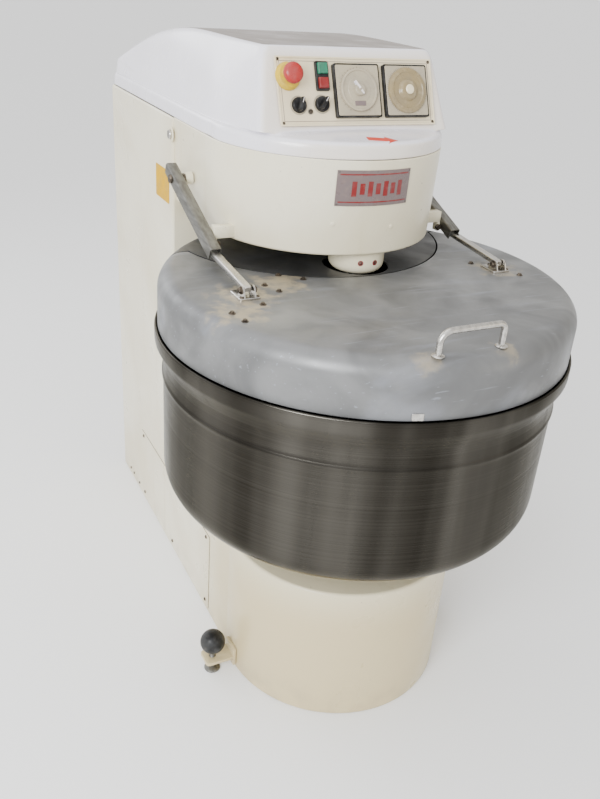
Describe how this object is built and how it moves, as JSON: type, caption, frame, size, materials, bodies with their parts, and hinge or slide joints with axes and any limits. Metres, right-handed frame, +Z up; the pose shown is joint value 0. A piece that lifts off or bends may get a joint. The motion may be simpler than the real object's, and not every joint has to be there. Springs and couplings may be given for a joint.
{
  "type": "commercial spiral dough mixer",
  "caption": "Floor-standing spiral dough mixer with a turning steel bowl, lifting aluminium lid on arms, round head drum, sloping control panel and belt drives.",
  "frame": {"origin": "on the floor, on the vertical axis of the bowl, at the underside of the base plate", "axes": "+Z up, +Y from the operator's side back to the column, +X to the operator's right"},
  "size_m": [0.9, 1.498, 1.45],
  "materials": {
    "cream_paint": "gloss enamel, aged",
    "white_moulding": "gloss",
    "bowl_stainless": "turned and brushed",
    "lid_aluminium": "dull, worn",
    "bright_steel": "polished",
    "plain_steel": "plain, stained",
    "cast_iron": "rough",
    "black_plastic": "satin",
    "belt_rubber": "matt",
    "red_plastic": "gloss",
    "green_plastic": "gloss",
    "yellow_plastic": "satin",
    "grey_plastic": "satin",
    "lamp_lens": "gloss",
    "badge_face": "printed plate",
    "motor_paint": "satin"
  },
  "bodies": {
    "frame": {"body_shell": "cream_paint", "base_plate": "plain_steel", "side_panel_left": "cream_paint", "side_panel_right": "cream_paint", "rear_panel": "cream_paint", "cable_gland": "black_plastic", "head_shell": "cream_paint", "head_cover": "white_moulding", "control_plate": "white_moulding", "timer_left": "grey_plastic", "timer_right": "grey_plastic", "emergency_collar": "yellow_plastic", "key_frame": "black_plastic", "pilot_lamp": "lamp_lens", "badge_plate": "badge_face", "bowl_bearing": "cast_iron", "breaker_boss": "white_moulding", "breaker_bar": "bright_steel", "spiral_bearing": "cast_iron", "spiral_belt": "belt_rubber", "spiral_motor": "motor_paint", "bowl_belt": "belt_rubber", "bowl_motor": "motor_paint", "rear_cover": "lid_aluminium", "hinge_pin_left": "plain_steel", "hinge_pin_right": "plain_steel", "hinge_lug_left": "cream_paint", "hinge_lug_right": "cream_paint", "rest_lug_left": "cream_paint", "rest_lug_right": "cream_paint", "foot_bracket_left": "cast_iron", "foot_bracket_right": "cast_iron"},
    "bowl": {"bowl": "bowl_stainless", "bowl_shaft": "plain_steel", "bowl_pulley": "cast_iron"},
    "spiral": {"spiral_hook": "bright_steel", "spiral_shaft": "plain_steel", "spiral_pulley": "cast_iron"},
    "bowl_motor_rotor": {"bowl_motor_pulley": "cast_iron"},
    "spiral_motor_rotor": {"spiral_motor_pulley": "cast_iron"},
    "lid": {"lid": "lid_aluminium", "lid_handle": "bright_steel", "arm_left": "plain_steel", "arm_right": "plain_steel", "link_left": "bright_steel", "link_right": "bright_steel", "bracket_left": "plain_steel", "bracket_right": "plain_steel"},
    "emergency_button": {"emergency_button": "red_plastic"},
    "start_key": {"start_key": "green_plastic"},
    "stop_key": {"stop_key": "red_plastic"},
    "selector_left": {"selector_left": "black_plastic"},
    "selector_right": {"selector_right": "black_plastic"},
    "timer_dial_left": {"timer_dial_left": "grey_plastic"},
    "timer_dial_right": {"timer_dial_right": "grey_plastic"},
    "casing_catch": {"casing_catch": "plain_steel"},
    "foot_left": {"foot_screw_left": "plain_steel", "foot_knob_left": "black_plastic"},
    "foot_right": {"foot_screw_right": "plain_steel", "foot_knob_right": "black_plastic"}
  },
  "joints": [
    {"name": "bowl_spin", "type": "hinge", "parent": "frame", "child": "bowl", "pos_m": [0, 0, 0.43], "axis": [0, 0, 1], "continuous": true},
    {"name": "spiral_spin", "type": "hinge", "parent": "frame", "child": "spiral", "pos_m": [0, 0.253, 0.9], "axis": [0, 0, 1], "continuous": true},
    {"name": "bowl_motor_spin", "type": "hinge", "parent": "frame", "child": "bowl_motor_rotor", "pos_m": [0, 0.76, 0.15], "axis": [0, 0, 1], "continuous": true},
    {"name": "spiral_motor_spin", "type": "hinge", "parent": "frame", "child": "spiral_motor_rotor", "pos_m": [0, 0.76, 1.15], "axis": [0, 0, 1], "continuous": true},
    {"name": "lid_lift", "type": "hinge", "parent": "frame", "child": "lid", "pos_m": [0, 0.36, 1.14725], "axis": [-1, 0, 0], "range_deg": [0, 55]},
    {"name": "emergency_press", "type": "slide", "parent": "frame", "child": "emergency_button", "axis": [0, 0.9252, -0.3795], "range_m": [0, 0.005], "stiffness_N_per_m": 800},
    {"name": "start_press", "type": "slide", "parent": "frame", "child": "start_key", "axis": [0, 0.9252, -0.3795], "range_m": [0, 0.004], "stiffness_N_per_m": 400},
    {"name": "stop_press", "type": "slide", "parent": "frame", "child": "stop_key", "axis": [0, 0.9252, -0.3795], "range_m": [0, 0.004], "stiffness_N_per_m": 400},
    {"name": "selector_left_turn", "type": "hinge", "parent": "frame", "child": "selector_left", "pos_m": [-0.136, 0.10786, 1.3436], "axis": [0, -0.9252, 0.3795], "range_deg": [-45, 45]},
    {"name": "selector_right_turn", "type": "hinge", "parent": "frame", "child": "selector_right", "pos_m": [-0.084, 0.10862, 1.34545], "axis": [0, -0.9252, 0.3795], "range_deg": [-45, 45]},
    {"name": "timer_left_turn", "type": "hinge", "parent": "frame", "child": "timer_dial_left", "pos_m": [-0.002, 0.1181, 1.36858], "axis": [0, -0.9252, 0.3795], "range_deg": [-300, 0]},
    {"name": "timer_right_turn", "type": "hinge", "parent": "frame", "child": "timer_dial_right", "pos_m": [0.115, 0.1181, 1.36858], "axis": [0, -0.9252, 0.3795], "range_deg": [-300, 0]},
    {"name": "catch_turn", "type": "hinge", "parent": "frame", "child": "casing_catch", "pos_m": [-0.2713, 0.495, 1.218], "axis": [-1, 0, 0], "range_deg": [0, 90]},
    {"name": "foot_left_raise", "type": "slide", "parent": "frame", "child": "foot_left", "axis": [0, 0, 1], "range_m": [0, 0.02]},
    {"name": "foot_right_raise", "type": "slide", "parent": "frame", "child": "foot_right", "axis": [0, 0, 1], "range_m": [0, 0.02]}
  ],
  "couplings": [
    {"joint": "bowl_motor_spin", "follows": "bowl_spin", "ratio": 3.8},
    {"joint": "spiral_motor_spin", "follows": "spiral_spin", "ratio": 3.8}
  ]
}
